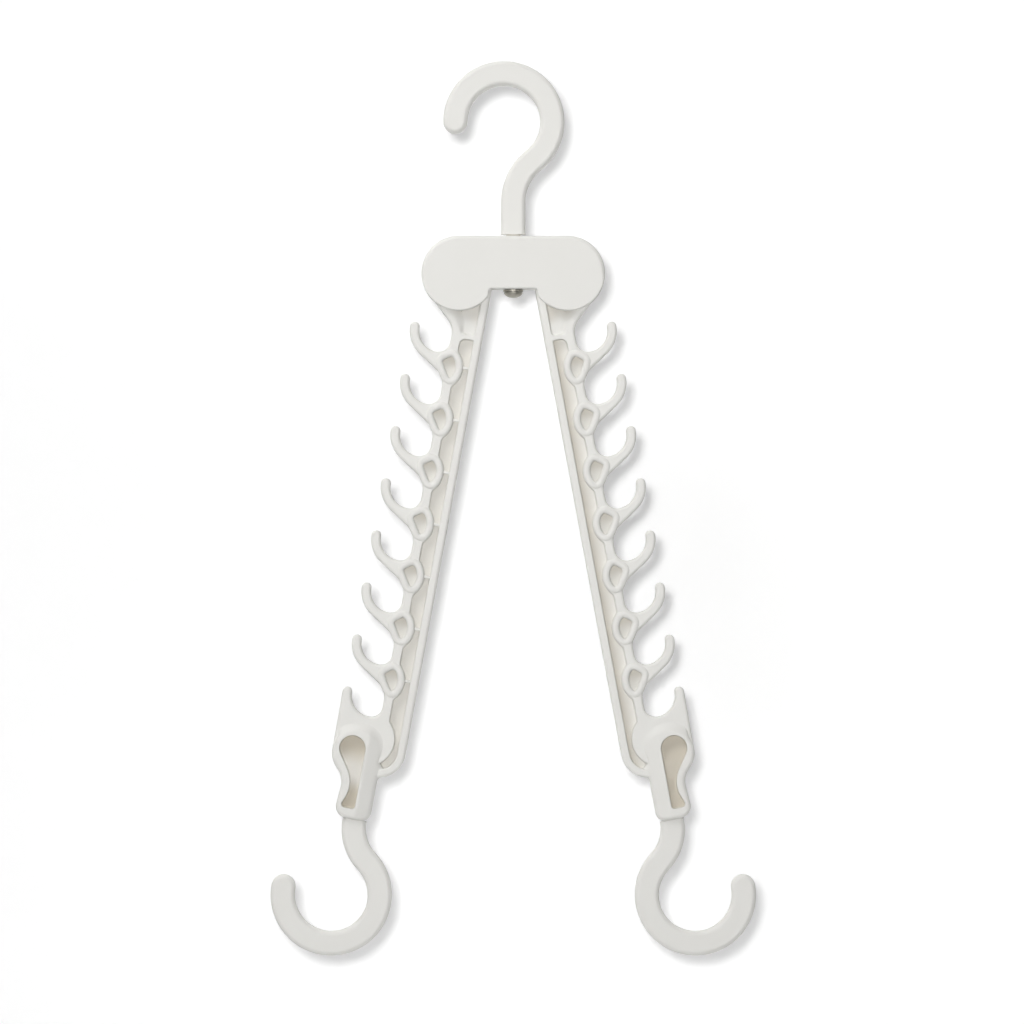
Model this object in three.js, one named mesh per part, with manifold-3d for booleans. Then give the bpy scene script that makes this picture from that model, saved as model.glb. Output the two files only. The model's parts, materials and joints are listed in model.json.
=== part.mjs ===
// Folding garment hanger: a swivel hook carries a head, and two hinged arms hang from the head.
// Each arm has a row of garment hooks and a swivel hook at its lower end.
// Millimetres, +Z up, the front faces -Y. The origin is where the rail touches the inside of the
// top hook's crown.
import * as THREE from 'three';
import { mergeVertices } from 'three/addons/utils/BufferGeometryUtils.js';
import Module from 'manifold-3d';

const wasm = await Module();
wasm.setup();

// Clearances
const fitGap = 0.3;             // between two pieces that touch or turn in each other
const slideGap = 0.4;           // between the flat side of an arm and the cover beside it
const chordError = 0.09;        // how far a round edge may stray from its true arc

// Swivel hooks: a flat bar bent to an open ring above a short reverse bend
const ringRadius = 24.35;       // to the middle of the bar
const barWidth = 12.2;
const barThickness = 9;
const barEdgeRound = 2.4;
const ringOffset = 4.75;        // ring centre beside the stem's axis
const tipAngle = 179.5;         // where the ring's open end is, from the side of the stem
const topReverse = 26.5;        // reverse bend of the top hook, to the middle of the bar
const topStraight = 16.3;       // straight stem of the top hook
const endReverse = 23.5;        // reverse bend of an end hook
const endStraight = 0.6;        // straight stem of an end hook

// Head
const lobeRadius = 18.75;
const pivotSpacing = 54.5;
const middleDrop = 7.75;        // from the pivot line down to the middle's lower edge
const notchAngle = 37;          // where the notch leaves a lobe, below the pivot line
const notchFillet = 1.5;
const coverThickness = 3.2;
const coverEdgeRound = 2.2;
const blockAngle = 29;          // where the centre block's top ends beside a hub
const swivelNeckRadius = 3.6;
const stemStandoff = 1;         // from the head's top to the hook's shoulder

// Swivel rivet and washer
const rivetHeadRadius = 4.7;
const rivetHeadHeight = 2.8;
const domeSteps = 6;            // facets from the dome's edge to its top
const rivetShankRadius = 2;
const rivetShankLength = 13;
const washerRadius = 5;
const washerThickness = 0.9;

// Arm pivots
const hubInset = 0.55;          // hub edge inside the lobe's edge
const postRadius = 4.5;
const screwRadius = 1.3;
const screwLength = 10;         // under the head
const screwHeadRadius = 2.8;
const screwHeadHeight = 1.9;
const screwHeadEdge = 0.85;     // upright edge of the head
const screwHeadTop = 2;         // radius of the head's flat top
const screwTip = 0.5;           // radius of the blunt tip
const screwTaper = 2.6;
const driveWidth = 0.8;
const driveSpan = 3.2;
const driveDepth = 1.1;
const pegRadius = 2;
const pegDistance = 12;         // from the pivot
const pegAngle = 130;           // where the right peg is, from +X
const foldAngle = 80;           // how far an arm swings up
const restTilt = 10.5;          // arm from the vertical, hanging at rest

// Arm
const armThickness = 10;
const webThickness = 2.4;
const rimInset = 0.6;           // inner rim's outer side, inside the hub's edge
const rimWidth = 4.2;
const hookCount = 8;
const hookGap = 8.9;            // from under one garment hook to the tip of the next
const tipFall = 9.4;            // hub's edge down to the first tip
const gulletOffset = 4;         // lowest point of a garment hook, outward from the axis
const gulletInnerRadius = 5.9;
const gulletOuterRadius = 10.5;
const tipRadius = 2.4;
const wallRadius = 10;          // round where one garment hook runs into the next one's wall
const wallStart = 3.4;          // that round's centre below the tip beside it
const spineWidth = 4.8;
const loopDrop = 19.85;         // centre of a loop below the tip of its hook
const loopOffset = 1.4;
const loopRadius = 11.95;
const loopWidth = 3.3;
const pocketTopWall = 4;
const pocketSlant = 32;         // pocket's straight side from the arm's axis
const pocketSideIn = 2.2;       // that side from the loop's centre
const pocketCorner = 0.9;
const ribThickness = 0.9;
const ribInset = 0.8;           // rib's edge under the rim's face
const recessDepth = 2;
const recessLedge = 2.7;        // recess starts this far inside the hub's edge
const recessFall = 11.1;        // hub's edge down to the recess's lower edge
const barHeight = 2.5;          // bar between the recess and the channel
const channelCorner = 3;

// Arm end with the housing of its swivel hook
const housingFall = 31.7;       // last tip down to the centre of the housing's round top
const cornerRise = 3;           // centre of the rim's lower corner, above that centre
const cornerRadius = 13.5;
const discRise = 8;             // centre of the channel's round end, above that centre
const discRadius = 14;
const discGap = 2.2;            // channel left between that end and the inner rim
const housingOffset = 6.5;
const housingRadius = 12.5;
const housingDepth = 15;
const housingEdgeRound = 2;
const sleeveSideWall = 7;       // straight part of the strap's side
const sleeveSteps = 6;          // facets of the round over the strap
const waistFall = 17;           // housing's top centre down to its waist
const waistOffset = 11.4;
const footFall = 16;            // waist down to the housing's lower edge
const footRadius = 6;
const footOffset = 12.15;
const strapCorner = 4.2;
const keyholeRise = 2;          // keyhole's round top, above the housing's
const keyholeOffset = 9;
const keyholeRadius = 6.5;
const keyholeRim = 4.4;         // rim beside the keyhole's waist
const keyholeDepth = 3.1;
const keyholeLip = 5.3;         // solid lip under the keyhole
const keyholeFoot = 9.4;
const keyholeFootRound = 1.7;
const keyholeCorner = 1.2;
const neckRadius = 2.8;
const neckLength = 24;
const snapRadius = 3.4;
const snapLength = 5;
const snapTaper = 2.4;
const snapSlit = 1.4;
const snapSlitDepth = 11;

// Sizes that follow from the ones above
const half = {
  arm: armThickness / 2,
  web: webThickness / 2,
  bar: barThickness / 2,
  barWidth: barWidth / 2,
  pivot: pivotSpacing / 2,
  housing: housingDepth / 2,
};
const coverInside = half.arm + slideGap;
const coverOutside = coverInside + coverThickness;
const coverMiddle = coverInside + coverThickness / 2;
const screwSeat = coverOutside - screwHeadHeight - fitGap;
const hubRadius = lobeRadius - hubInset;
const blockHole = hubRadius + slideGap;
const innerEdge = hubRadius - rimInset;
const wallOffset = gulletOffset - gulletInnerRadius;
const spineInner = wallOffset - spineWidth;
const rimInner = innerEdge - rimWidth;
const discOffset = discGap + discRadius - rimInner;
const hookPitch = gulletOuterRadius + 3 * tipRadius + hookGap;
const firstTip = hubRadius + tipFall;
const recessEnd = hubRadius + recessFall;
const housingDrop = firstTip + (hookCount - 1) * hookPitch + housingFall;
const cornerDrop = housingDrop - cornerRise;
const discDrop = housingDrop - discRise;
const keyholeDrop = housingDrop - keyholeRise;
const waistDrop = housingDrop + waistFall;
const housingEnd = waistDrop + footFall;
const strapOffset = housingOffset - housingRadius;
const stemOffset = strapOffset + half.housing;
const reach = 4 * half.housing;  // long enough to cut right through any piece

const topShoulder = lobeRadius + stemStandoff;
const railHeight = topShoulder + topStraight + bendRise(topReverse) + ringRadius - half.barWidth;

const plastic = { color: 0xece8df, roughness: 0.42, metalness: 0 };
const steel = { color: 0xb9bcbf, roughness: 0.25, metalness: 1 };

// Points of an arc, angles in degrees from +X towards +Z
function arc(x, z, radius, from, to) {
  const step = 2 * THREE.MathUtils.radToDeg(Math.acos(1 - Math.min(chordError / radius, 0.3)));
  const count = Math.max(2, Math.ceil(Math.abs(to - from) / step));
  const points = [];
  for (let i = 0; i <= count; i++) {
    const angle = THREE.MathUtils.degToRad(from + ((to - from) * i) / count);
    points.push(new THREE.Vector2(x + radius * Math.cos(angle), z + radius * Math.sin(angle)));
  }
  return points;
}

function point(x, z) {
  return [new THREE.Vector2(x, z)];
}

// One closed outline from arcs and points, without doubled points
function outline(...pieces) {
  const points = [];
  for (const next of pieces.flat()) {
    const last = points[points.length - 1];
    if (!last || last.distanceTo(next) > chordError) {
      points.push(next);
    }
  }
  if (points[0].distanceTo(points[points.length - 1]) < chordError) {
    points.pop();
  }
  return points;
}

// Direction, in degrees, from one circle's centre to where the line crossing between it and a
// second circle leaves it; the line meets the second circle on the opposite side
function crossing(first, second, side) {
  const between = second.centre.clone().sub(first.centre);
  const spread = Math.acos((first.radius + second.radius) / between.length());
  return THREE.MathUtils.radToDeg(Math.atan2(between.y, between.x) + side * spread);
}

function circle(x, z, radius) {
  return { centre: new THREE.Vector2(x, z), radius };
}

function arcOn(ring, from, to) {
  return arc(ring.centre.x, ring.centre.y, ring.radius, from, to);
}

function direction(from, to) {
  return THREE.MathUtils.radToDeg(Math.atan2(to.y - from.y, to.x - from.x));
}

// Where two circles meet, on the left of the way from the first centre to the second
function meet(first, second) {
  const between = second.centre.clone().sub(first.centre);
  const gap = between.length();
  const along = (gap ** 2 + first.radius ** 2 - second.radius ** 2) / (2 * gap);
  const across = Math.sqrt(first.radius ** 2 - along ** 2);
  const unit = between.divideScalar(gap);
  return first.centre.clone().addScaledVector(unit, along)
    .add(new THREE.Vector2(-unit.y, unit.x).multiplyScalar(across));
}

// Where a line meets a circle, on its way out of it
function leave(start, unit, ring) {
  const offset = start.clone().sub(ring.centre);
  const along = offset.dot(unit);
  const travel = Math.sqrt(along ** 2 - offset.lengthSq() + ring.radius ** 2) - along;
  return start.clone().addScaledVector(unit, travel);
}

function solidOf(geometry) {
  geometry.deleteAttribute('normal');
  geometry.deleteAttribute('uv');
  const merged = mergeVertices(geometry, 1e-4);
  return new wasm.Manifold(new wasm.Mesh({
    numProp: 3,
    vertProperties: new Float32Array(merged.attributes.position.array),
    triVerts: new Uint32Array(merged.index.array),
  }));
}

// An outline in X and Z, pulled along Y, with its edges rounded if asked
function slab(points, front, back, round = 0) {
  const geometry = new THREE.ExtrudeGeometry(new THREE.Shape(points), {
    depth: back - front - 2 * round,
    bevelEnabled: round > 0,
    bevelThickness: round,
    bevelSize: round,
    bevelOffset: -round,
    bevelSegments: 3,
  });
  geometry.rotateX(Math.PI / 2);
  geometry.translate(0, back - round, 0);
  return solidOf(geometry);
}

function box(left, right, front, back, bottom, top) {
  const geometry = new THREE.BoxGeometry(right - left, back - front, top - bottom);
  geometry.translate((left + right) / 2, (front + back) / 2, (bottom + top) / 2);
  return solidOf(geometry);
}

function sidesOf(radius) {
  return Math.max(16, Math.ceil(Math.PI / Math.acos(1 - chordError / radius)));
}

// A turned piece, profile given as [radius, height], standing along Z at x
function turned(profile, x = 0) {
  const points = profile.map(([radius, height]) => new THREE.Vector2(radius, height));
  const widest = Math.max(...profile.map(([radius]) => radius));
  const geometry = new THREE.LatheGeometry(points, sidesOf(widest));
  geometry.rotateX(Math.PI / 2);
  geometry.translate(x, 0, 0);
  return solidOf(geometry);
}

function rod(radius, bottom, top, x = 0) {
  return turned([[0, bottom], [radius, bottom], [radius, top], [0, top]], x);
}

// A cylinder along Y
function pin(radius, front, back, x = 0, z = 0) {
  const geometry = new THREE.CylinderGeometry(radius, radius, back - front, sidesOf(radius));
  geometry.translate(x, (front + back) / 2, z);
  return solidOf(geometry);
}

function meshOf(name, solid, look) {
  const cut = solid.getMesh();
  const geometry = new THREE.BufferGeometry();
  const positions = new Float32Array((cut.vertProperties.length / cut.numProp) * 3);
  for (let i = 0; i < positions.length / 3; i++) {
    for (let axis = 0; axis < 3; axis++) {
      positions[3 * i + axis] = cut.vertProperties[cut.numProp * i + axis];
    }
  }
  geometry.setAttribute('position', new THREE.BufferAttribute(positions, 3));
  geometry.setIndex(new THREE.BufferAttribute(new Uint32Array(cut.triVerts), 1));
  geometry.computeVertexNormals();
  const mesh = new THREE.Mesh(geometry, new THREE.MeshStandardMaterial(look));
  mesh.name = name;
  return mesh;
}

// The reverse bend and the ring touch in one point on the line between their centres: this is how
// far the ring's centre stands above the bend's
function bendRise(reverse) {
  return Math.sqrt((ringRadius + reverse) ** 2 - (ringOffset + reverse) ** 2);
}

// Swivel hook standing on its shoulder at z = 0, with its open end towards -X
function hookBar(straight, reverse) {
  const bend = circle(reverse, straight, reverse);
  const ring = circle(-ringOffset, straight + bendRise(reverse), ringRadius);
  const bendAngle = direction(ring.centre, bend.centre);
  const tip = arcOn(ring, tipAngle, tipAngle)[0];
  const wide = half.barWidth;
  const under = -2 * barEdgeRound;
  const points = outline(
    point(-wide, under),
    arc(bend.centre.x, bend.centre.y, reverse + wide, 180, 180 + bendAngle),
    arc(ring.centre.x, ring.centre.y, ringRadius - wide, bendAngle, tipAngle),
    arc(tip.x, tip.y, wide, tipAngle + 180, tipAngle),
    arc(ring.centre.x, ring.centre.y, ringRadius + wide, tipAngle, bendAngle),
    arc(bend.centre.x, bend.centre.y, reverse - wide, 180 + bendAngle, 180),
    point(wide, under),
  );
  const trim = box(-barWidth, barWidth, -barThickness, barThickness, 2 * under, 0);
  return slab(points, -half.bar, half.bar, barEdgeRound).subtract(trim);
}

function topHook() {
  const neckEnd = -topShoulder - middleDrop;
  const neck = rod(swivelNeckRadius, neckEnd, barEdgeRound + 1);
  const hole = rod(rivetShankRadius + fitGap, neckEnd - 1, neckEnd + rivetShankLength);
  return hookBar(topStraight, topReverse).add(neck).subtract(hole);
}

// The end hook's neck ends in a split head that snaps into the arm
function endHook() {
  const neck = turned([
    [0, -neckLength],
    [neckRadius, -neckLength],
    [snapRadius, snapTaper - neckLength],
    [snapRadius, snapLength - neckLength],
    [neckRadius, snapLength - neckLength],
    [neckRadius, barEdgeRound + 1],
    [0, barEdgeRound + 1],
  ]);
  const slit = box(
    -snapSlit / 2, snapSlit / 2,
    -reach, reach,
    -neckLength - 1, snapSlitDepth - neckLength,
  );
  return hookBar(endStraight, endReverse).add(neck).subtract(slit);
}

function rivet() {
  const dome = [];
  for (let i = 0; i <= domeSteps; i++) {
    const angle = (Math.PI / 2) * (i / domeSteps);
    dome.push([rivetHeadRadius * Math.sin(angle), -rivetHeadHeight * Math.cos(angle)]);
  }
  return turned([
    ...dome,
    [rivetShankRadius, 0],
    [rivetShankRadius, rivetShankLength],
    [0, rivetShankLength],
  ]);
}

function washer() {
  const inner = rivetShankRadius + fitGap;
  return turned([
    [inner, 0],
    [washerRadius, 0],
    [washerRadius, washerThickness],
    [inner, washerThickness],
    [inner, 0],
  ]);
}

// Both covers share this outline: two round lobes with a notch under the middle
function coverOutline() {
  const x = half.pivot;
  const notch = x - lobeRadius * Math.cos(THREE.MathUtils.degToRad(notchAngle));
  return outline(
    arc(x, 0, lobeRadius, 90, notchAngle - 180),
    arc(notch - notchFillet, -middleDrop - notchFillet, notchFillet, 0, 90),
    arc(notchFillet - notch, -middleDrop - notchFillet, notchFillet, 90, 180),
    arc(-x, 0, lobeRadius, -notchAngle, -270),
  );
}

// A plate on the front (side -1) or the back (side 1) with its outer edge rounded
function coverPlate(side) {
  const inside = side * coverInside;
  const outside = side * coverOutside;
  const blank = inside - side * coverThickness;
  const whole = slab(
    coverOutline(),
    Math.min(blank, outside),
    Math.max(blank, outside),
    coverEdgeRound,
  );
  const wide = pivotSpacing + lobeRadius;
  const low = Math.min(inside, outside);
  const high = Math.max(inside, outside);
  return whole.intersect(box(-wide, wide, low, high, -wide, wide));
}

function frontCover() {
  let cover = coverPlate(-1);
  for (const x of [-half.pivot, half.pivot]) {
    cover = cover.add(pin(postRadius, -coverMiddle, coverInside - fitGap, x));
  }
  const holeEnd = screwSeat - screwLength - fitGap;
  for (const x of [-half.pivot, half.pivot]) {
    cover = cover.subtract(pin(screwRadius + fitGap, holeEnd, coverOutside, x));
  }
  return cover;
}

// The centre block stands on the rear cover between the two hubs
function centreBlock() {
  const side = half.pivot - blockHole * Math.cos(THREE.MathUtils.degToRad(blockAngle));
  const lower = THREE.MathUtils.radToDeg(Math.asin(middleDrop / blockHole));
  const points = outline(
    point(-side, lobeRadius),
    point(side, lobeRadius),
    arc(half.pivot, 0, blockHole, 180 - blockAngle, 180 + lower),
    arc(-half.pivot, 0, blockHole, -lower, blockAngle),
  );
  return slab(points, fitGap - coverInside, coverMiddle)
    .subtract(rod(swivelNeckRadius + fitGap, -reach, reach));
}

function rearCover() {
  let cover = coverPlate(1).add(centreBlock());
  const turn = THREE.MathUtils.degToRad(pegAngle);
  for (const side of [-1, 1]) {
    const x = side * half.pivot;
    const pegX = x + side * pegDistance * Math.cos(turn);
    const pegZ = pegDistance * Math.sin(turn);
    cover = cover.add(pin(pegRadius, -half.arm, coverMiddle, pegX, pegZ));
    cover = cover.subtract(pin(screwRadius + fitGap, 0, reach, x));
    cover = cover.subtract(pin(screwHeadRadius + fitGap, screwSeat, reach, x));
  }
  return cover;
}

// Screw along Z with its head's underside at z = 0 and the head above
function screw() {
  const body = turned([
    [0, -screwLength],
    [screwTip, -screwLength],
    [screwRadius, screwTaper - screwLength],
    [screwRadius, fitGap],
    [screwHeadRadius, fitGap],
    [screwHeadRadius, fitGap + screwHeadEdge],
    [screwHeadTop, screwHeadHeight],
    [0, screwHeadHeight],
  ]);
  const low = screwHeadHeight - driveDepth;
  const long = driveSpan / 2;
  const thin = driveWidth / 2;
  return body
    .subtract(box(-long, long, -thin, thin, low, reach))
    .subtract(box(-thin, thin, -long, long, low, reach));
}

// Circles of one garment hook, counted from the pivot down
function hookCircles(index) {
  const tipTop = -firstTip - index * hookPitch;
  const level = tipTop - tipRadius;
  const bottom = level - gulletOuterRadius;
  const outer = gulletOuterRadius + 2 * tipRadius;
  return {
    wall: circle(wallOffset + wallRadius, tipTop - wallStart, wallRadius),
    inner: circle(gulletOffset, bottom + gulletInnerRadius, gulletInnerRadius),
    outer: circle(gulletOffset, level, gulletOuterRadius),
    tip: circle(gulletOffset + gulletOuterRadius + tipRadius, level, tipRadius),
    back: circle(gulletOffset, level, outer),
    loop: circle(loopOffset, tipTop - loopDrop, loopRadius),
  };
}

const hub = circle(0, 0, hubRadius);

function armOutline() {
  const start = 180 + THREE.MathUtils.radToDeg(Math.acos(innerEdge / hubRadius));
  const shoulder = crossing(hub, hookCircles(0).wall, 1);
  const pieces = [arcOn(hub, start, shoulder)];
  let from = shoulder + 180;
  for (let i = 0; i < hookCount; i++) {
    const hook = hookCircles(i);
    pieces.push(arcOn(hook.wall, from, 180));
    pieces.push(arcOn(hook.inner, 180, 270));
    pieces.push(arcOn(hook.outer, 270, 360));
    pieces.push(arcOn(hook.tip, 180, 0));
    if (i < hookCount - 1) {
      const run = crossing(hook.back, hookCircles(i + 1).wall, 1);
      pieces.push(arcOn(hook.back, 0, run));
      from = run + 180;
    }
  }
  const plateEdge = gulletOffset + gulletOuterRadius + 2 * tipRadius;
  const corner = cornerRadius - innerEdge;
  return outline(
    ...pieces,
    point(Math.min(plateEdge, housingOffset + housingRadius), -housingDrop),
    point(housingOffset, -cornerDrop - cornerRadius),
    arc(corner, -cornerDrop, cornerRadius, 270, 180),
  );
}

// D-shaped pocket inside the loop behind a garment hook
function pocketOutline(index) {
  const hook = hookCircles(index);
  const slant = THREE.MathUtils.degToRad(-pocketSlant);
  const outward = new THREE.Vector2(Math.cos(slant), Math.sin(slant));
  const along = new THREE.Vector2(outward.y, -outward.x);
  const edge = hook.loop.centre.clone()
    .addScaledVector(outward, -pocketSideIn - pocketCorner);
  const ring = circle(hook.loop.centre.x, hook.loop.centre.y, loopRadius - loopWidth);
  const roof = circle(
    hook.inner.centre.x, hook.inner.centre.y,
    gulletInnerRadius + pocketTopWall,
  );
  const ringIn = { centre: ring.centre, radius: ring.radius - pocketCorner };
  const roofOut = { centre: roof.centre, radius: roof.radius + pocketCorner };
  const upper = meet(ringIn, roofOut);
  const outer = leave(edge, along, roofOut);
  const lower = leave(edge, along, ringIn);
  const full = 360;
  const turnOf = (from, to, after) => after + ((direction(from, to) - after) % full + full) % full;
  const upperOut = turnOf(ring.centre, upper, 0);
  const lowerOut = turnOf(ring.centre, lower, upperOut);
  const roofLeft = turnOf(roof.centre, upper, 180);
  const roofRight = turnOf(roof.centre, outer, roofLeft);
  return outline(
    arcOn(roof, roofLeft, roofRight),
    arc(outer.x, outer.y, pocketCorner, roofRight - 180, -pocketSlant),
    arc(lower.x, lower.y, pocketCorner, -pocketSlant, lowerOut - full),
    arcOn(ring, lowerOut, upperOut),
    arc(upper.x, upper.y, pocketCorner, upperOut, roofLeft - 180),
  );
}

// Long channel between the inner rim and the spine, with the loops standing into it
function channelOutline() {
  const top = -recessEnd - barHeight;
  const corner = cornerRadius - innerEdge;
  const discMeet = THREE.MathUtils.radToDeg(Math.acos((spineInner - discOffset) / discRadius));
  const loopMeet = THREE.MathUtils.radToDeg(Math.acos((spineInner - loopOffset) / loopRadius));
  const pieces = [];
  for (let i = hookCount - 2; i >= 0; i--) {
    pieces.push(arcOn(hookCircles(i).loop, 360 - loopMeet, loopMeet));
  }
  return outline(
    point(-rimInner, top),
    arc(corner, -cornerDrop, cornerRadius - rimWidth, 180, 270),
    arc(discOffset, -discDrop, discRadius, 240, discMeet),
    ...pieces,
    arc(spineInner - channelCorner, top - channelCorner, channelCorner, 0, 90),
  );
}

// Shallow recess between the hub and the channel
function recessOutline() {
  const first = hookCircles(0).wall;
  const shoulder = crossing(hub, first, 1);
  const ledge = circle(0, 0, hubRadius - recessLedge);
  const left = 360 - THREE.MathUtils.radToDeg(Math.acos(-rimInner / ledge.radius));
  const reachIn = Math.acos((hubRadius - spineWidth) / ledge.radius);
  const right = 360 + shoulder - THREE.MathUtils.radToDeg(reachIn);
  const inner = wallRadius + spineWidth;
  const low = 180 - THREE.MathUtils.radToDeg(
    Math.asin((-recessEnd - first.centre.y) / inner),
  );
  return outline(
    point(-rimInner, -recessEnd),
    arcOn(ledge, left, right),
    arc(first.centre.x, first.centre.y, inner, shoulder + 180, low),
  );
}

// Curved slot in the hub for the stop peg: its ends limit the swing
function stopSlot() {
  const wide = pegRadius + fitGap;
  const high = pegAngle - restTilt;
  const low = high - foldAngle;
  const highEnd = arc(0, 0, pegDistance, high, high)[0];
  const lowEnd = arc(0, 0, pegDistance, low, low)[0];
  return outline(
    arc(0, 0, pegDistance + wide, low, high),
    arc(highEnd.x, highEnd.y, wide, high, high + 180),
    arc(0, 0, pegDistance - wide, high, low),
    arc(lowEnd.x, lowEnd.y, wide, low + 180, low + 360),
  );
}

const waistIn = waistOffset - housingOffset;
const waistRadius = (waistIn ** 2 + waistFall ** 2 - housingRadius ** 2)
  / (2 * (housingRadius - waistIn));
const waist = circle(waistOffset + waistRadius, -waistDrop, waistRadius);

function housingOutline() {
  const top = circle(housingOffset, -housingDrop, housingRadius);
  const foot = circle(footOffset - footRadius, footRadius - housingEnd, footRadius);
  const turn = direction(top.centre, waist.centre);
  const run = 360 + crossing(foot, waist, -1);
  return outline(
    arcOn(top, 180, turn),
    arcOn(waist, turn + 180, run - 180),
    arcOn(foot, run - 360, -90),
    arc(strapOffset + strapCorner, strapCorner - housingEnd, strapCorner, 270, 180),
  );
}

// Strap side of the housing seen along the arm: a straight side under a long round
function sleeve() {
  const bulge = half.housing - sleeveSideWall / 2;
  const across = half.housing;
  const section = [];
  for (const side of [1, -1]) {
    for (let i = 0; i <= sleeveSteps; i++) {
      const part = i / sleeveSteps;
      const angle = (Math.PI / 2) * (side > 0 ? part : 1 - part);
      section.push(new THREE.Vector2(
        stemOffset - across * Math.cos(angle),
        side * (sleeveSideWall / 2 + bulge * Math.sin(angle)),
      ));
    }
    if (side > 0) {
      const wide = housingOffset + housingRadius + 1;
      section.push(new THREE.Vector2(wide, half.housing));
      section.push(new THREE.Vector2(wide, -half.housing));
    }
  }
  const low = -housingEnd - 1;
  const geometry = new THREE.ExtrudeGeometry(new THREE.Shape(section), {
    depth: housingEnd - housingDrop + housingRadius + 2,
    bevelEnabled: false,
  });
  geometry.translate(0, 0, low);
  return solidOf(geometry);
}

function keyholeOutline() {
  const top = circle(keyholeOffset, -keyholeDrop, keyholeRadius);
  const low = keyholeLip - housingEnd;
  const rim = { centre: waist.centre, radius: waist.radius + keyholeRim };
  const foot = circle(
    keyholeFoot - keyholeFootRound, low + keyholeFootRound,
    keyholeFootRound,
  );
  const left = keyholeOffset - keyholeRadius;
  const upper = crossing(top, rim, 1);
  const run = 360 + crossing(foot, rim, -1);
  return outline(
    arcOn(top, 180, upper),
    arcOn(rim, upper + 180, run - 180),
    arcOn(foot, run - 360, -90),
    arc(left + keyholeCorner, low + keyholeCorner, keyholeCorner, 270, 180),
  );
}

// A cut of the given depth into both faces
function bothFaces(points, face, depth) {
  const deep = face - depth;
  return slab(points, deep, face + 1).add(slab(points, -face - 1, -deep));
}

// One moulding makes both arms. The thin ribs are only on its +Y face.
function arm() {
  const pocketDepth = half.arm - half.web;
  let body = slab(armOutline(), -half.arm, half.arm);
  body = body.subtract(bothFaces(channelOutline(), half.arm, pocketDepth));
  body = body.subtract(bothFaces(recessOutline(), half.arm, recessDepth));
  for (let i = 0; i < hookCount - 1; i++) {
    body = body.subtract(bothFaces(pocketOutline(i), half.arm, pocketDepth));
    const loop = hookCircles(i).loop;
    body = body.add(box(
      -rimInner - rimWidth / 2, loop.centre.x - loopRadius + loopWidth / 2,
      0, half.arm - ribInset,
      loop.centre.y - ribThickness / 2, loop.centre.y + ribThickness / 2,
    ));
  }
  const shell = slab(housingOutline(), -half.housing, half.housing, housingEdgeRound);
  body = body.add(shell.intersect(sleeve()));
  body = body.subtract(bothFaces(keyholeOutline(), half.housing, keyholeDepth));
  const neckTop = -housingEnd - fitGap + neckLength;
  const catchTop = neckTop + fitGap;
  const catchLow = neckTop - snapLength - fitGap;
  body = body.subtract(rod(neckRadius + fitGap, -housingEnd - 1, catchTop, stemOffset));
  body = body.subtract(rod(snapRadius + fitGap, catchLow, catchTop, stemOffset));
  body = body.subtract(pin(postRadius + fitGap, -reach, reach));
  return body.subtract(slab(stopSlot(), -reach, reach));
}

const hanger = new THREE.Group();
hanger.position.set(ringOffset, 0, -railHeight);

const swivelHook = meshOf('top_hook', topHook(), plastic);
swivelHook.position.z = topShoulder;
hanger.add(swivelHook);

const swivelRivet = meshOf('swivel_rivet', rivet(), steel);
swivelRivet.position.z = -middleDrop - washerThickness - 2 * fitGap;
hanger.add(swivelRivet);

const swivelWasher = meshOf('swivel_washer', washer(), steel);
swivelWasher.position.z = -middleDrop - washerThickness - fitGap;
hanger.add(swivelWasher);

hanger.add(meshOf('head_front_cover', frontCover(), plastic));
hanger.add(meshOf('head_rear_cover', rearCover(), plastic));

for (const [side, turn] of [['right', 0], ['left', Math.PI]]) {
  const turned180 = new THREE.Group();
  turned180.rotation.z = turn;
  hanger.add(turned180);

  const swing = new THREE.Group();
  swing.position.x = half.pivot;
  swing.rotation.y = THREE.MathUtils.degToRad(-restTilt);
  turned180.add(swing);
  swing.add(meshOf(`${side}_arm`, arm(), plastic));

  const lowHook = meshOf(`${side}_end_hook`, endHook(), plastic);
  lowHook.position.set(stemOffset, 0, -housingEnd - fitGap);
  lowHook.rotation.y = Math.PI;
  swing.add(lowHook);

  const pivotScrew = meshOf(`${side}_pivot_screw`, screw(), steel);
  pivotScrew.position.set(side === 'right' ? half.pivot : -half.pivot, screwSeat, 0);
  pivotScrew.rotation.x = -Math.PI / 2;
  hanger.add(pivotScrew);
}

export default hanger;
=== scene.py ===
import json
import math
from types import SimpleNamespace as Named
import bmesh
import bpy
from mathutils import Matrix, Vector
from mathutils.geometry import delaunay_2d_cdt


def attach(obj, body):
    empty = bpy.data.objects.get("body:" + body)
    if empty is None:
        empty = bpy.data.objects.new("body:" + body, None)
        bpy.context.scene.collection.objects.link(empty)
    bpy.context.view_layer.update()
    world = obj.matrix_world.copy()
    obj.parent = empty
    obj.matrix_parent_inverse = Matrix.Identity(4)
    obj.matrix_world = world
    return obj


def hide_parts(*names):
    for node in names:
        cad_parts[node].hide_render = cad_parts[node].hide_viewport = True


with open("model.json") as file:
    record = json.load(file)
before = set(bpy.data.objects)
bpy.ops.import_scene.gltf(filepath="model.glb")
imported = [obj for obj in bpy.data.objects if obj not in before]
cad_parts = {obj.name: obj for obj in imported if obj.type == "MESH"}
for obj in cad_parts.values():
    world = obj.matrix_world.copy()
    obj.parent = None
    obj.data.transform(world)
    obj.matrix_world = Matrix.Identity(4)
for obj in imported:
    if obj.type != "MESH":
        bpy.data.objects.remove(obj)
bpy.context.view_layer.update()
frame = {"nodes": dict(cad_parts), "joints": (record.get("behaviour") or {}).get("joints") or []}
scene = bpy.context.scene
mm = 0.001
stand = Matrix.Rotation(math.pi / 2, 4, "X")
print("frame loaded:", len(frame["nodes"]), "solids")


# Outlines: lists of (x, z) in millimetres, made of arcs and the lines that run between them.
# A ring is (x, z, radius).

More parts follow.
